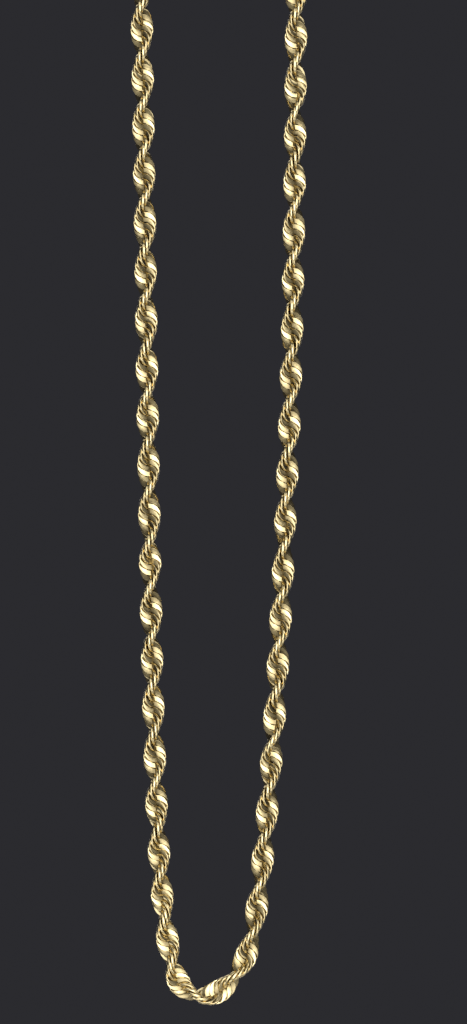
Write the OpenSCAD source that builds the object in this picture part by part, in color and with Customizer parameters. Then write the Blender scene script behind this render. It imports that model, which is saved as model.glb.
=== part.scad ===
// A gold rope necklace: fine round links twisted into a two-strand rope,
// closed by a plain turned clasp. It hangs by the clasp as a long narrow loop.
// The rope is one solid with the outer form that the packed links make.

/* [Rope] */
// Width of the rope, which is the outer diameter of its links
rope_w = 4; // [3:0.1:5]
// Width of the rope where one strand crosses in front of the other
neck_w = 1.7; // [1.2:0.1:2.2]
// Thickness of the rope at its axis, between the two strands
web_w = 0.6; // [0.3:0.1:1]
// Width of the polished flat along the outer edge of each strand
flat_w = 0.6; // [0.2:0.1:1]
// Length of rope in one half turn of the twist
half_turn = 8.5; // [7:0.5:14]
// Half turns that the rope gains where it bends round the foot of the loop
foot_gain = 0.4; // [0:0.05:0.9]

/* [Loop] */
// Length of the closed necklace, measured along its middle with the clasp
necklace_length = 610; // [520:5:760]
// Distance from the middle of the loop to each side at its shoulders
side_x = 13.9; // [13:0.1:18]

/* [Clasp] */
// Length of the clasp from mouth to mouth
clasp_length = 12; // [10:0.5:13]
// Depth to which each end of the rope goes into the clasp
socket_depth = 2.5; // [1.5:0.1:3]
// Space around the rope in its socket, and behind its end
socket_gap = 0.15; // [0.1:0.05:0.3]
// Wall of the clasp around the socket
socket_wall = 0.35; // [0.3:0.05:0.6]
// Height of the barrel in the middle above the two sleeves
barrel_step = 0.3; // [0.1:0.05:0.6]
// Length of the barrel between the two sleeves
barrel_length = 6; // [4:0.5:7]
// Half the width, and the depth, of the line turned round the middle of the barrel
groove = 0.15; // [0.1:0.05:0.3]
// Bevel on the rim of each mouth
rim_bevel = 0.1; // [0.05:0.05:0.2]

/* [Hidden] */
$fn = 64;

// Sections along each half turn, and steps along each span of the route
sections_per_half_turn = 6;
span_steps = 10;
// How far out each strand is thickest, as a share of the way to its outer edge
belly_share = 0.65;

// The seen part of the loop, from its left top round the foot to its right top:
// distance from the middle, and distance below the top of the seen part.
SEEN_ROUTE = [
    [-13.6, 0], [-13.4, 13], [-13.2, 26], [-12.9, 44], [-12.7, 61.5],
    [-12.4, 79], [-12.1, 98], [-11.7, 118], [-11.2, 136], [-10.7, 147],
    [-10.2, 155], [-9.6, 161], [-9, 165.3], [-8.3, 168.9], [-7.6, 171.6],
    [-6.1, 173.9], [-3.5, 175], [-0.7, 174.6], [1.5, 173], [3.3, 170.7],
    [4.9, 167.9], [5.9, 163.9], [6.8, 158.8], [7.6, 152], [8.5, 142.5],
    [9.5, 130], [10.5, 115], [11.3, 100], [12, 84], [12.7, 67],
    [13.1, 46], [13.4, 24.5], [13.6, 0]
];
// Distance along the seen part to a place where the rope would be widest with no foot
wide_at = 5.06;
// Distance along the seen part to the middle of the stretch that takes up foot_gain
gain_at = 169.5;
// Length of that stretch on each side of its middle
gain_reach = 20;

socket_d = rope_w + 2 * socket_gap;
sleeve_d = socket_d + 2 * socket_wall;
barrel_d = sleeve_d + 2 * barrel_step;
// The loop hangs from the underside of the barrel, which is the origin
clasp_z = barrel_d / 2;
rope_end_x = clasp_length / 2 - socket_depth + socket_gap;
// The rope leaves the clasp straight, and then turns down in a round shoulder
straight_lead = 0.8;
lead_x = clasp_length / 2 + straight_lead;
shoulder_r = side_x - lead_x;
rope_length = necklace_length - 2 * rope_end_x;
// Height of the straight hidden side with which the route is first measured
trial_side = 100;
side_spans = 5;

// One end of the rope, from inside the clasp to the foot of its shoulder
function shoulder() = [
    for (x = [rope_end_x, (rope_end_x + lead_x) / 2, lead_x]) [-x, clasp_z],
    for (a = [15:15:90])
        [-lead_x - shoulder_r * sin(a), clasp_z - shoulder_r * (1 - cos(a))]
];

// The straight hidden side below the shoulder, down to the top of the seen part
function side(drop) =
    let (top = clasp_z - shoulder_r, seen_x = -SEEN_ROUTE[0].x)
    [for (i = [1:side_spans - 1]) let (u = i / side_spans)
        [-(side_x + (seen_x - side_x) * u), top - drop * u]];

function mirrored(points) =
    [for (i = [len(points) - 1:-1:0]) [-points[i].x, points[i].y]];

// Every chosen point of the loop, from the left end of the rope to the right one
function chosen(drop) =
    let (
        half = concat(shoulder(), side(drop)),
        seen_top = clasp_z - shoulder_r - drop,
        seen = [for (p = SEEN_ROUTE) [p.x, seen_top - p.y]]
    )
    concat(half, seen, mirrored(half));

// A cubic B-spline runs along the chosen points and starts and ends on them
function ends_added(p) =
    let (n = len(p) - 1)
    concat([2 * p[0] - p[1]], p, [2 * p[n] - p[n - 1]]);

function blend(p, i, t) =
    ((1 - t) ^ 3 * p[i] + (3 * t ^ 3 - 6 * t ^ 2 + 4) * p[i + 1]
     + (1 + 3 * t + 3 * t ^ 2 - 3 * t ^ 3) * p[i + 2] + t ^ 3 * p[i + 3]) / 6;

function smooth(points) =
    let (p = ends_added(points), spans = len(points) - 1)
    concat(
        [for (i = [0:spans - 1], k = [0:span_steps - 1]) blend(p, i, k / span_steps)],
        [blend(p, spans - 1, 1)]);

// Distance along a line of points, at each point
function run(p) =
    [for (i = 0, s = 0; i < len(p);
          i = i + 1, s = s + (i < len(p) ? norm(p[i] - p[i - 1]) : 0)) s];

function last(list) = list[len(list) - 1];

// The straight sides take up what the rest of the loop leaves of the rope's length
side_drop = trial_side + (rope_length - last(run(smooth(chosen(trial_side))))) / 2;
route = smooth(chosen(side_drop));
route_run = run(route);
route_x = [for (i = [0:len(route) - 1]) [route_run[i], route[i].x]];
route_z = [for (i = [0:len(route) - 1]) [route_run[i], route[i].y]];

function place(s) = [lookup(s, route_x), 0, lookup(s, route_z)];

// Distance along the rope at the top of the seen part, found from its spans
seen_run = route_run[(len(shoulder()) + side_spans - 1) * span_steps];

// Share of foot_gain that is still to come or already taken, from -1 to 1
function gain_share(s) = max(-1, min(1, (s - seen_run - gain_at) / gain_reach));

// Angle of the rope's section at a distance s along it
function turn(s) =
    180 * ((s - seen_run - wide_at) / half_turn + foot_gain / 2 * gain_share(s));

// The rope's cross section: two strands side by side, flat at their outer edges
function section() =
    let (
        tip = rope_w / 2,
        belly = belly_share * tip,
        upper = [[tip, flat_w / 2], [belly, neck_w / 2], [0, web_w / 2],
                 [-belly, neck_w / 2], [-tip, flat_w / 2]]
    )
    concat(upper, [for (p = upper) -p]);

// One ring of points: the section turned and stood square on the route
function ring(s, reach) =
    let (
        ahead = place(s + reach) - place(s - reach),
        along = ahead / norm(ahead),
        across = cross([0, 1, 0], along),
        c = cos(turn(s)),
        q = sin(turn(s))
    )
    [for (p = section())
        place(s) + (p.x * c - p.y * q) * across + (p.x * q + p.y * c) * [0, 1, 0]];

module rope_chain() {
    count = ceil(rope_length / half_turn * sections_per_half_turn);
    step = last(route_run) / count;
    sides = len(section());
    rings = [for (i = [0:count]) ring(i * step, step / 4)];
    walls = [for (i = [0:count - 1], k = [0:sides - 1])
        let (a = i * sides + k, b = i * sides + (k + 1) % sides)
        each [[a, a + sides, b], [b, a + sides, b + sides]]];
    color("goldenrod")
        polyhedron(
            points = [for (r = rings) each r],
            faces = concat(
                walls,
                [[for (k = [0:sides - 1]) k]],
                [[for (k = [sides - 1:-1:0]) count * sides + k]]),
            convexity = 10);
}

// Half of the clasp's outline: radius, and distance from the middle to the mouth
function clasp_half() =
    let (
        mouth = clasp_length / 2,
        sleeve_r = sleeve_d / 2,
        barrel_r = barrel_d / 2
    )
    [
        [barrel_r - groove, 0], [barrel_r, groove], [barrel_r, barrel_length / 2],
        [sleeve_r, barrel_length / 2 + barrel_step], [sleeve_r, mouth - rim_bevel],
        [sleeve_r - rim_bevel, mouth], [0, mouth]
    ];

// A plain turned barrel with a sleeve at each end that the rope goes into
module clasp() {
    half = clasp_half();
    outline = concat([for (i = [len(half) - 1:-1:1]) [half[i].x, -half[i].y]], half);
    past_mouth = 1;
    color("gold")
        translate([0, 0, clasp_z]) rotate([0, 90, 0])
            difference() {
                rotate_extrude() polygon(outline);
                for (end = [0, 1])
                    mirror([0, 0, end])
                        translate([0, 0, clasp_length / 2 - socket_depth])
                            cylinder(d = socket_d, h = socket_depth + past_mouth);
            }
}

rope_chain();
clasp();
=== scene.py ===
import bpy
import numpy as np
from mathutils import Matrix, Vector


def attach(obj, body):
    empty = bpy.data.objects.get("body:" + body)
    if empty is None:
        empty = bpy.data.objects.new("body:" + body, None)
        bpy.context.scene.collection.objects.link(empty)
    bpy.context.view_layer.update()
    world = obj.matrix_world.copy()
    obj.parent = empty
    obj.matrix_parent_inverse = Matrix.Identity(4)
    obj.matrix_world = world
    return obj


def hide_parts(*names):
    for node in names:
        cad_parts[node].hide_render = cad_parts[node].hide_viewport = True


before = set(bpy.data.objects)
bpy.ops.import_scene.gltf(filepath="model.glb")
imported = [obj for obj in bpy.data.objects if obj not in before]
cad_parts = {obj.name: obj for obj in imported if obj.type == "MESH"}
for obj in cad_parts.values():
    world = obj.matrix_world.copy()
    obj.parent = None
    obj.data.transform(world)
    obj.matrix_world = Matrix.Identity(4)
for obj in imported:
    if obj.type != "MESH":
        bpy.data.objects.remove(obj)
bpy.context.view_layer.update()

# The rope. Round links of flat-sided gold wire, each passing through the ones next to it, are set
# a little further round and a little further down than the last, so that their outer edges pack
# into two strands. Every link is one ring, stood on the rope's route and turned with its twist.
NECKLACE_LENGTH = 0.610
# The clasp that closes the loop, and how far from its middle each end of the rope is
CLASP_LENGTH = 0.012
CLASP_MIDDLE_Z = 0.0028
ROPE_END_X = 0.00365
# The hidden way down from the clasp: a short straight lead, a round shoulder, and a straight side
STRAIGHT_LEAD = 0.0008
SHOULDER_ANGLES = (15, 30, 45, 60, 75, 90)
SIDE_X = 0.0139
SIDE_SPANS = 5
# Height of that side with which the route is first measured, and steps along each span of it all
TRIAL_SIDE = 0.1
SPAN_STEPS = 24
# The seen part of the route: distance from the middle, and distance below its top
SEEN_ROUTE = [
    (-0.0136, 0), (-0.0134, 0.013), (-0.0132, 0.026), (-0.0129, 0.044), (-0.0127, 0.0615),
    (-0.0124, 0.079), (-0.0121, 0.098), (-0.0117, 0.118), (-0.0112, 0.136), (-0.0107, 0.147),
    (-0.0102, 0.155), (-0.0096, 0.161), (-0.009, 0.1653), (-0.0083, 0.1689), (-0.0076, 0.1716),
    (-0.0061, 0.1739), (-0.0035, 0.175), (-0.0007, 0.1746), (0.0015, 0.173), (0.0033, 0.1707),
    (0.0049, 0.1679), (0.0059, 0.1639), (0.0068, 0.1588), (0.0076, 0.152), (0.0085, 0.1425),
    (0.0095, 0.130), (0.0105, 0.115), (0.0113, 0.100), (0.012, 0.084), (0.0127, 0.067),
    (0.0131, 0.046), (0.0134, 0.0245), (0.0136, 0),
]
# The twist, and the distance along the seen part to a wide place of the rope
HALF_TURN = 0.0085
WIDE_AT = 0.00506
# Half turns that it gains on the bend at the foot, and the middle and half length of that stretch
FOOT_GAIN = 0.4
GAIN_AT = 0.1695
GAIN_REACH = 0.020
# Places along the rope at which the twist is worked out
TWIST_PLACES = 20000
# Links in a whole turn, distance from one to the next, and half the length of rope that gives the
# way on which a link is stood
LINKS_PER_TURN = 17.6
LINK_PITCH = 2 * HALF_TURN / LINKS_PER_TURN
STANDING_REACH = 0.0005
# The link: the rope is as wide as its rings, and their wire is deeper than it is wide
ROPE_WIDTH = 0.004
WIRE_DEPTH = 0.0008
LINK_SIDES = 16
# Half of the wire's section, from the link's outer edge to its inner one: distance out from the
# wire's middle, distance to the side, and the way the surface faces there in degrees
WIRE_SECTION = [(0.0004, 0.00017, 19), (0.00035, 0.00027, 79), (-0.0004, 0.00023, 98)]
# Unevenness of the links in degrees: in stretches of that length along the rope, and link by link
UNEVEN_LENGTH = 0.006
UNEVEN_TURN = (3.0, 2.0)
UNEVEN_LEAN = (4.0, 2.5)
TURN_SEED, LEAN_SEED, TONE_SEED = 3, 5, 11


def b_spline(points, steps):
    """A line along chosen points. Each span is the uniform cubic B-spline of the four points round
    it, whose weights add up to one. A point added beyond each end, as far past it as the next one
    is before it, makes the line start and end on the chosen points."""
    points = np.asarray(points, float)
    padded = np.vstack([2 * points[0] - points[1], points, 2 * points[-1] - points[-2]])
    t = np.arange(steps)[None, :, None] / steps
    spans = len(points) - 1
    a, b, c, d = (padded[k : k + spans, None, :] for k in range(4))
    line = (
        (1 - t) ** 3 * a
        + (3 * t**3 - 6 * t**2 + 4) * b
        + (1 + 3 * t + 3 * t**2 - 3 * t**3) * c
        + t**3 * d
    ) / 6
    return np.vstack([line.reshape(-1, 2), points[-1:]])


def distance_along(line):
    """Distance from the start of a line of points to each of them: the sum of the steps so far."""
    return np.concatenate([[0], np.cumsum(np.linalg.norm(np.diff(line, axis=0), axis=1))])


def chosen_points(side_drop):
    """The whole loop: level out of the clasp, down a round shoulder, down a straight hidden side,
    round the seen part, and the same up the other side. The first half of the hidden points comes
    with it."""
    lead_x = CLASP_LENGTH / 2 + STRAIGHT_LEAD
    radius = SIDE_X - lead_x
    angle = np.radians(SHOULDER_ANGLES)
    level = [(-x, CLASP_MIDDLE_Z) for x in (ROPE_END_X, (ROPE_END_X + lead_x) / 2, lead_x)]
    bend = np.column_stack(
        [-lead_x - radius * np.sin(angle), CLASP_MIDDLE_Z - radius * (1 - np.cos(angle))]
    )
    share = np.arange(1, SIDE_SPANS) / SIDE_SPANS
    top = CLASP_MIDDLE_Z - radius
    side = np.column_stack(
        [-(SIDE_X + (-SEEN_ROUTE[0][0] - SIDE_X) * share), top - side_drop * share]
    )
    half = np.vstack([level, bend, side])
    seen = np.array(SEEN_ROUTE) * [1, -1] + [0, top - side_drop]
    return half, np.vstack([half, seen, half[::-1] * [-1, 1]])


def loop_route():
    """The route, the distance along it, and where its seen part starts: the distance to that
    place, and its height. The straight sides take up what is left of the rope's real length."""
    rope_length = NECKLACE_LENGTH - 2 * ROPE_END_X
    length = distance_along(b_spline(chosen_points(TRIAL_SIDE)[1], SPAN_STEPS))[-1]
    half, points = chosen_points(TRIAL_SIDE + (rope_length - length) / 2)
    line = b_spline(points, SPAN_STEPS)
    run = distance_along(line)
    return line, run, run[len(half) * SPAN_STEPS], points[len(half), 1]


def point_at(distance, run, line):
    """The points of a line at those distances along it, carried evenly from one point of the line
    to the next."""
    x, z = (np.interp(distance, run, line[:, k]) for k in (0, 1))
    return np.column_stack([x, np.zeros_like(distance), z])


def uneven(at, sizes, seed):
    """A small angle for each link: one drawn for every stretch and carried evenly to the next,
    and one of the link's own."""
    draw = np.random.default_rng(seed)
    knots = np.arange(at[0], at[-1] + UNEVEN_LENGTH, UNEVEN_LENGTH)
    slow = np.interp(at, knots, draw.normal(size=len(knots)))
    return np.radians(sizes[0] * slow + sizes[1] * draw.normal(size=len(at)))


def link_places():
    """Centre and four directions of every link: along the rope, and out in the link's plane, up in
    it, and square to it. The twist grows evenly along the rope, and gains a little on the bend at
    the foot. A link stands wherever it has grown by one more part of a turn."""
    line, run, seen_run, _ = loop_route()
    s = np.linspace(0, run[-1], TWIST_PLACES)
    gained = np.clip((s - seen_run - GAIN_AT) / GAIN_REACH, -1, 1)
    half_turns = (s - seen_run - WIDE_AT) / HALF_TURN + FOOT_GAIN / 2 * gained
    step = 2 / LINKS_PER_TURN
    first, last = np.interp([ROPE_WIDTH / 2, run[-1] - ROPE_WIDTH / 2], s, half_turns)
    links = np.arange(np.ceil(first / step), np.floor(last / step) + 1) * step
    at = np.interp(links, half_turns, s)
    centre = point_at(at, run, line)
    along = point_at(at + STANDING_REACH, run, line) - point_at(at - STANDING_REACH, run, line)
    along /= np.linalg.norm(along, axis=1, keepdims=True)
    back = np.array([0, 1, 0])
    turn = (links * np.pi + uneven(at, UNEVEN_TURN, TURN_SEED))[:, None]
    out = np.cross(back, along) * np.cos(turn) + back * np.sin(turn)
    lean = uneven(at, UNEVEN_LEAN, LEAN_SEED)[:, None]
    up = along * np.cos(lean) + np.cross(out, along) * np.sin(lean)
    return centre, along, out, up, np.cross(out, up)


def rope_links():
    """Every point of every link: the link's centre, plus the ring's radius along the way out from
    it, plus the wire's width square to the ring. With it come the way it faces, its distance from
    the rope's axis as a share of half the rope's width, and its place in its own ring."""
    centre, along, out, up, square = link_places()
    section = np.array(WIRE_SECTION + [(o, -w, -f) for o, w, f in WIRE_SECTION[::-1]])
    facing = np.radians(section[:, 2])
    angle = np.arange(LINK_SIDES) * 2 * np.pi / LINK_SIDES
    cosine, sine = np.cos(angle)[None, :, None], np.sin(angle)[None, :, None]
    radial = (cosine * out[:, None, :] + sine * up[:, None, :])[:, :, None, :]
    square = square[:, None, None, :]
    ring = ROPE_WIDTH / 2 - WIRE_DEPTH / 2 + section[:, 0]
    from_centre = radial * ring[:, None] + square * section[:, 1, None]
    normals = radial * np.cos(facing)[:, None] + square * np.sin(facing)[:, None]
    level = np.einsum("lrwd,ld->lrw", from_centre, along)[..., None] * along[:, None, None, :]
    depth = np.linalg.norm(from_centre - level, axis=-1) / (ROPE_WIDTH / 2)
    own = np.empty_like(from_centre)
    own[..., 0] = cosine * ring
    own[..., 1] = sine * ring
    own[..., 2] = section[:, 1]
    return centre[:, None, None, :] + from_centre, normals, depth, own


def ring_faces(count, sides, around):
    """Four corners of every face of that many rings, each a closed tube of sides by around."""
    i, j = np.meshgrid(np.arange(sides), np.arange(around), indexing="ij")
    k, m = (i + 1) % sides, (j + 1) % around
    corners = np.stack([i * around + j, k * around + j, k * around + m, i * around + m], -1)
    start = np.arange(count)[:, None, None] * sides * around
    return (start + corners.reshape(1, -1, 4)).reshape(-1, 4)


def mesh_object(name, points, faces, normals):
    """An object at the origin from whole arrays: points, four-cornered faces, and facings."""
    mesh = bpy.data.meshes.new(name)
    mesh.vertices.add(len(points))
    mesh.vertices.foreach_set("co", points.astype(np.float32).ravel())
    mesh.loops.add(faces.size)
    mesh.loops.foreach_set("vertex_index", faces.astype(np.int32).ravel())
    mesh.polygons.add(len(faces))
    mesh.polygons.foreach_set("loop_start", np.arange(0, faces.size, 4, dtype=np.int32))
    mesh.update(calc_edges=True)
    mesh.polygons.foreach_set("use_smooth", np.ones(len(faces), bool))
    mesh.normals_split_custom_set_from_vertices(normals)
    thing = bpy.data.objects.new(name, mesh)
    bpy.context.scene.collection.objects.link(thing)
    return thing


def keep_values(thing, name, kind, field, values):
    """Stores one value for each of a mesh's points, for its material to read."""
    kept = thing.data.attributes.new(name, kind, "POINT")
    kept.data.foreach_set(field, values.astype(np.float32).ravel())


link_points, link_normals, link_depth, link_own = rope_links()
link_count, _, wire_points = link_points.shape[:3]
rope = mesh_object(
    "rope_links",
    link_points.reshape(-1, 3),
    ring_faces(link_count, LINK_SIDES, wire_points),
    link_normals.reshape(-1, 3),
)
link_tone = np.random.default_rng(TONE_SEED).random(link_count)
keep_values(rope, "depth", "FLOAT", "value", link_depth)
keep_values(rope, "own_place", "FLOAT_VECTOR", "vector", link_own)
keep_values(rope, "link_tone", "FLOAT", "value", np.repeat(link_tone, LINK_SIDES * wire_points))

# Draw lines on the wire, close together across it and long along it, and clouds in its polish, as
# noise per metre. Each link's are moved along by its own tone, so that no two are alike.
LINES_ACROSS, LINES_ALONG, LINES_MOVED = 60000, 700, 90
CLOUDS, CLOUDS_MOVED = 900, 40
LINES_BUMP = 0.000004
# Painted shade between the links: gold at the rope's axis, half way out of its shade, and out of
# it
PAINTED_AXIS_SHADE = (0.10, 0.07, 0.03)
PAINTED_HALF_SHADE = (0.62, 0.50, 0.26)
GOLD_OUT_OF_SHADE = (0.91, 0.75, 0.41)
# How far inside the rim the next link's shade ends, and the length over which it fades
RIM_MARGIN = 0.00003
RIM_FADE = 0.0001
# Distances from the axis at which the gold is at its darkest and is no darker for its depth, as
# shares of half the rope's width, and how far out of its shade the darkest is
DARKEST_AT, CLEAR_AT = 0.1, 0.6
DARKEST = 0.12
# Lightness of the gold, and what a link's own tone and its clouds add to it
LIGHTNESS, TONE_LIGHTENS, CLOUDS_LIGHTEN = 0.92, 0.10, 0.10
# Roughness of its polish, and what clouds and draw lines add to it
POLISH, CLOUDS_ROUGHEN, LINES_ROUGHEN = 0.09, 0.08, 0.06


class Socket:
    """An output of a node in a material. Arithmetic on it adds Math nodes to that material."""

    def __init__(self, tree, output=None):
        self.tree = tree
        self.output = output

    def node(self, kind, settings, inputs, output=0):
        """One output of a new node of any type: its settings go in first, among them a ramp's
        stops as places and colours, and then the values or links of its inputs."""
        made = self.tree.nodes.new(kind)
        for name, value in settings.items():
            if name == "stops":
                while len(made.color_ramp.elements) < len(value):
                    made.color_ramp.elements.new(1)
                for element, (position, colour) in zip(made.color_ramp.elements, value):
                    element.position = position
                    element.color = (*colour, 1)
            else:
                setattr(made, name, value)
        for name, value in inputs.items():
            self.feed(made.inputs[name], value)
        return Socket(self.tree, made.outputs[output])

    def feed(self, socket, value):
        """Links a socket of this material to another one, or sets its plain value."""
        if isinstance(value, Socket):
            self.tree.links.new(value.output, socket)
        else:
            socket.default_value = value

    def math(self, operation, first, second=0.0):
        """The operation of a Math node on one or two values."""
        return self.node("ShaderNodeMath", {"operation": operation}, {0: first, 1: second})

    def __add__(self, other):
        return self.math("ADD", self, other)

    def __sub__(self, other):
        return self.math("SUBTRACT", self, other)

    def __rsub__(self, other):
        return self.math("SUBTRACT", other, self)

    def __mul__(self, other):
        return self.math("MULTIPLY", self, other)

    def __truediv__(self, other):
        return self.math("DIVIDE", self, other)

    def __rtruediv__(self, other):
        return self.math("DIVIDE", other, self)

    __radd__ = __add__
    __rmul__ = __mul__


def new_metal(name):
    """A fully metallic material, its shader, and a socket with which to start its nodes."""
    metal = bpy.data.materials.new(name)
    metal.use_nodes = True
    shader = metal.node_tree.nodes["Principled BSDF"]
    shader.inputs["Metallic"].default_value = 1
    return metal, shader, Socket(metal.node_tree)


def vector_of(start, x, y, z):
    """Three numbers as one vector."""
    return start.node("ShaderNodeCombineXYZ", {}, {0: x, 1: y, 2: z})


def length_of(start, vector):
    """The root of the sum of a vector's squares."""
    return start.node("ShaderNodeVectorMath", {"operation": "LENGTH"}, {0: vector}, "Value")


def noise_of(start, vector, scale=1.0, detail=2.0):
    """Smooth random values from 0 to 1 over a vector, with finer ones added as detail."""
    return start.node(
        "ShaderNodeTexNoise", {}, {"Vector": vector, "Scale": scale, "Detail": detail}
    )


def smooth_share(start, value, low, high):
    """A share that goes smoothly from 0 at the low value to 1 at the high one."""
    return start.node(
        "ShaderNodeMapRange",
        {"interpolation_type": "SMOOTHSTEP"},
        {"Value": value, "From Min": low, "From Max": high},
    )


def links_gold():
    """Polished yellow gold with painted shade: dark and reddish near the rope's axis and under the
    next link, its own pale gold where a place stands out in the open, a little lighter or darker
    from link to link, with fine draw lines that run along each wire. The painted shade follows the
    lesser of two shares. One grows with the distance from the rope's axis. The other grows with
    how far a place stands out past the next link: its distance out in its own ring, plus the part
    of a pitch by which the next link has moved on there, less the rim's."""
    metal, shader, start = new_metal("links_gold")
    depth = start.node("ShaderNodeAttribute", {"attribute_name": "depth"}, {}, "Fac")
    tone = start.node("ShaderNodeAttribute", {"attribute_name": "link_tone"}, {}, "Fac")
    own = start.node("ShaderNodeAttribute", {"attribute_name": "own_place"}, {}, "Vector")
    x, y, side = (start.node("ShaderNodeSeparateXYZ", {}, {0: own}, k) for k in range(3))
    ring = length_of(start, vector_of(start, x, y, 0.0))
    lines_x = ring * LINES_ACROSS + x * LINES_ALONG
    lines_y = side * LINES_ACROSS + y * LINES_ALONG
    lines = noise_of(start, vector_of(start, lines_x, lines_y, tone * LINES_MOVED))
    cloud_z = tone * CLOUDS_MOVED + side * CLOUDS
    cloud = noise_of(start, vector_of(start, x * CLOUDS, y * CLOUDS, cloud_z), detail=3.0)
    # Painted shade: darker where the next link covers a place, and near the rope's axis
    moved_on = start.math("ABSOLUTE", y / ring) * LINK_PITCH
    past_rim = moved_on + ring - (ROPE_WIDTH / 2 - RIM_MARGIN)
    open_share = smooth_share(start, past_rim, -RIM_FADE, 0.0)
    depths = {"Value": depth, "From Min": DARKEST_AT, "From Max": CLEAR_AT, "To Min": DARKEST}
    unshaded_share = start.math("MINIMUM", open_share, start.node("ShaderNodeMapRange", {}, depths))
    stops = [(0.0, PAINTED_AXIS_SHADE), (0.5, PAINTED_HALF_SHADE), (1.0, GOLD_OUT_OF_SHADE)]
    colour = start.node("ShaderNodeValToRGB", {"stops": stops}, {0: unshaded_share})
    value = tone * TONE_LIGHTENS + cloud * CLOUDS_LIGHTEN + LIGHTNESS
    toned = start.node("ShaderNodeHueSaturation", {}, {"Color": colour, "Value": value})
    start.feed(shader.inputs["Base Color"], toned)
    roughness = cloud * CLOUDS_ROUGHEN + lines * LINES_ROUGHEN + POLISH
    start.feed(shader.inputs["Roughness"], roughness)
    bump = {"Strength": 0.25, "Distance": LINES_BUMP, "Height": lines}
    start.feed(shader.inputs["Normal"], start.node("ShaderNodeBump", {}, bump))
    return metal


rope.data.materials.append(links_gold())
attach(rope, "root")
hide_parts("rope_chain")

# The clasp. A plain barrel turned from solid gold, with a sleeve at each end that takes the end of
# the rope, and a fine line turned round its middle. Its shape is the solid's own.
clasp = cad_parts["clasp"]
# Lathe lines and smudges as noise per metre
LATHE_LINES = 40000
LATHE_BUMP = 0.000005
SMUDGES = 700.0
POLISHED_GOLD = (0.92, 0.77, 0.44)
SHADED_GOLD = (0.45, 0.31, 0.12)
# Where the painted shade gives way to polished gold: distance from the barrel's middle at the
# turned line, and radius at the inside of the sleeves
LINE_SHADE = (0.00006, 0.00018)
SLEEVE_SHADE = (0.0021, 0.0023)
# How much of the way from polished to shaded gold the painted shade and the smudges go
SHADE_DARKENS, SMUDGES_DARKEN = 0.9, 0.08
# Roughness of the barrel's polish, and what smudges, lathe lines and shade add to it
BARREL_POLISH = 0.07
SMUDGES_ROUGHEN, LATHE_ROUGHENS, SHADE_ROUGHENS = 0.10, 0.08, 0.15


def turned_gold():
    """Gold polished on a lathe. Its fine lines are noise over the place along the barrel's axis
    and the distance from it, and its smudges are noise in the round. Painted shade darkens it near
    the turned line, by the place along the axis, and inside the sleeves, by the distance from it."""
    metal, shader, start = new_metal("turned_gold")
    place = start.node("ShaderNodeTexCoord", {}, {}, "Object")
    from_axis = start.node(
        "ShaderNodeVectorMath", {"operation": "SUBTRACT"}, {0: place, 1: (0, 0, CLASP_MIDDLE_Z)}
    )
    across = start.node(
        "ShaderNodeVectorMath", {"operation": "MULTIPLY"}, {0: from_axis, 1: (0, 1, 1)}
    )
    along = start.node("ShaderNodeSeparateXYZ", {}, {0: from_axis})
    radius = length_of(start, across)
    lines = noise_of(start, vector_of(start, along * LATHE_LINES, radius * LATHE_LINES, 0.0))
    smudge = noise_of(start, place, SMUDGES, 3.0)
    out_of_line = smooth_share(start, start.math("ABSOLUTE", along), *LINE_SHADE)
    out_of_sleeve = smooth_share(start, radius, *SLEEVE_SHADE)
    shade = 1 - start.math("MINIMUM", out_of_line, out_of_sleeve)
    colour = start.node(
        "ShaderNodeValToRGB",
        {"stops": [(0.0, POLISHED_GOLD), (1.0, SHADED_GOLD)]},
        {0: shade * SHADE_DARKENS + smudge * SMUDGES_DARKEN},
    )
    start.feed(shader.inputs["Base Color"], colour)
    added = smudge * SMUDGES_ROUGHEN + lines * LATHE_ROUGHENS + shade * SHADE_ROUGHENS
    start.feed(shader.inputs["Roughness"], added + BARREL_POLISH)
    bump = {"Strength": 0.3, "Distance": LATHE_BUMP, "Height": lines}
    start.feed(shader.inputs["Normal"], start.node("ShaderNodeBump", {}, bump))
    return metal


clasp.data.materials.clear()
clasp.data.materials.append(turned_gold())

# The studio. A plain pale floor far below the hanging loop, and a room that is dark behind the
# loop and grows lighter towards the front. Soft panels stand in front of the loop, the brightest
# in the middle, with four nearer to it above and below them, one at each side, and two behind.
FLOOR_Z = -1.2
FLOOR_RADIUS = 6
FLOOR_SIDES = 96
FLOOR_GREY = (0.62, 0.61, 0.59, 1)
FLOOR_ROUGHNESS = 0.7
ROOM_BEHIND = (0.024, 0.024, 0.028)
ROOM_IN_FRONT = (0.40, 0.39, 0.365)
# How far back a direction points, from -1 in front to 1 behind, where the room is at its darkest
# and at its lightest
DARK_AT, LIGHT_AT = 0.15, -1.0
PANELS_FACE = (0, 0, -0.2)
# Name, place, width, height and radiance
PANELS = [
    ("front panel", (0, -1.2, -0.2), 2.2, 1.75, 0.5),
    ("middle panel", (0, -1.15, -0.2), 1.3, 1.2, 0.75),
    ("key panel", (0, -1.1, -0.2), 0.5, 1.2, 1.4),
    ("upper left panel", (-0.6, -0.5, 0.55), 0.8, 0.6, 0.8),
    ("lower left panel", (-0.6, -0.5, -0.95), 0.8, 0.6, 0.8),
    ("upper right panel", (0.6, -0.5, 0.55), 0.8, 0.6, 0.8),
    ("lower right panel", (0.6, -0.5, -0.95), 0.8, 0.6, 0.8),
    ("left panel", (-0.97, 0, -0.72), 0.6, 0.45, 1.3),
    ("right panel", (0.97, 0, 0.32), 0.6, 0.45, 1.3),
    ("back panel", (0, 1.2, -0.18), 1.0, 1.6, 0.7),
    ("upper back panel", (0, 0.6, 0.7), 1.3, 0.7, 0.9),
]

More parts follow.
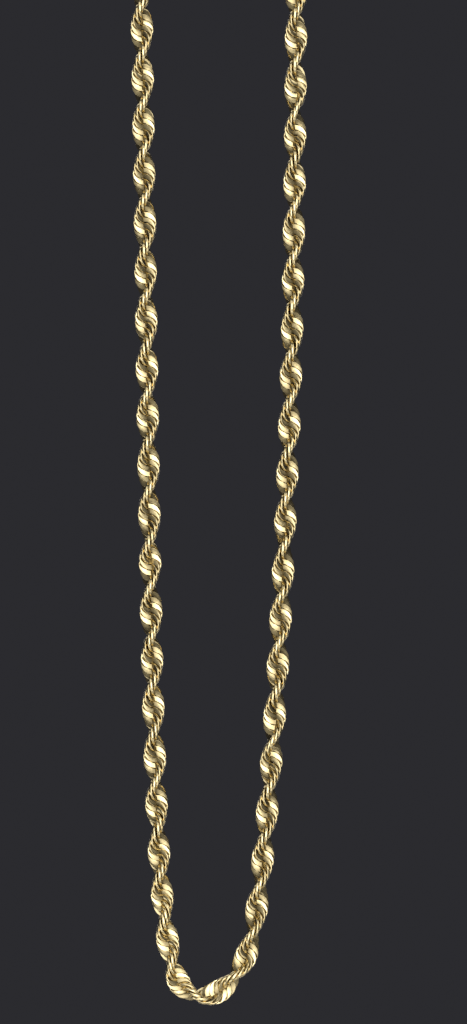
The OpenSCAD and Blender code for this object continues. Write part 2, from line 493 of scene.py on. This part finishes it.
bpy.ops.mesh.primitive_circle_add(
    vertices=FLOOR_SIDES, radius=FLOOR_RADIUS, fill_type="NGON", location=(0, 0, FLOOR_Z)
)
floor = bpy.context.object
floor.name = "floor"
pale = bpy.data.materials.new("pale_floor")
pale.use_nodes = True
pale.node_tree.nodes["Principled BSDF"].inputs["Base Color"].default_value = FLOOR_GREY
pale.node_tree.nodes["Principled BSDF"].inputs["Roughness"].default_value = FLOOR_ROUGHNESS
floor.data.materials.append(pale)


def room():
    """Light of the room by direction alone: dark behind the loop, and grey in front of it."""
    world = bpy.data.worlds.new("room")
    world.use_nodes = True
    start = Socket(world.node_tree)
    direction = start.node("ShaderNodeTexCoord", {}, {}, "Generated")
    back = start.node("ShaderNodeSeparateXYZ", {}, {0: direction}, 1)
    share = smooth_share(start, back, DARK_AT, LIGHT_AT)
    stops = [(0.0, ROOM_BEHIND), (1.0, ROOM_IN_FRONT)]
    colour = start.node("ShaderNodeValToRGB", {"stops": stops}, {0: share})
    start.feed(world.node_tree.nodes["Background"].inputs["Color"], colour)
    return world


def soft_light(name, place, width, height, radiance):
    """A white panel that faces the middle of the loop. Its power is its radiance times pi times
    its area, so that it is as bright to look at as its radiance."""
    lamp = bpy.data.lights.new(name, "AREA")
    lamp.shape = "RECTANGLE"
    lamp.size = width
    lamp.size_y = height
    lamp.energy = radiance * np.pi * width * height
    thing = bpy.data.objects.new(name, lamp)
    thing.location = place
    towards = Vector(PANELS_FACE) - Vector(place)
    thing.rotation_euler = towards.to_track_quat("-Z", "Y").to_euler()
    thing.visible_camera = False
    bpy.context.scene.collection.objects.link(thing)


bpy.context.scene.view_settings.view_transform = "Standard"
bpy.context.scene.world = room()
for panel in PANELS:
    soft_light(*panel)

# The camera. It looks level along Y at the seen part of the loop, and its lens makes one pixel of
# the picture as large on the rope as it is there.
PIXEL = 0.00017562
FRAME_SIZE = (467, 1024)
# Where the loop's middle and the top of its seen part lie in the frame, from its upper left corner
LOOP_MIDDLE_PX = 218.9
SEEN_TOP_PX = 0.5
CAMERA_DISTANCE = 0.6
SENSOR_MM = 36

seen_top = loop_route()[3]
camera = bpy.data.objects.new("camera", bpy.data.cameras.new("camera"))
camera.location = (
    (FRAME_SIZE[0] / 2 - LOOP_MIDDLE_PX) * PIXEL,
    -CAMERA_DISTANCE,
    seen_top - (FRAME_SIZE[1] / 2 - SEEN_TOP_PX) * PIXEL,
)
camera.rotation_euler = (np.pi / 2, 0, 0)
camera.data.sensor_width = SENSOR_MM
camera.data.lens = SENSOR_MM * CAMERA_DISTANCE / (FRAME_SIZE[1] * PIXEL)
camera.data.clip_start = 0.01
bpy.context.scene.collection.objects.link(camera)
bpy.context.scene.camera = camera
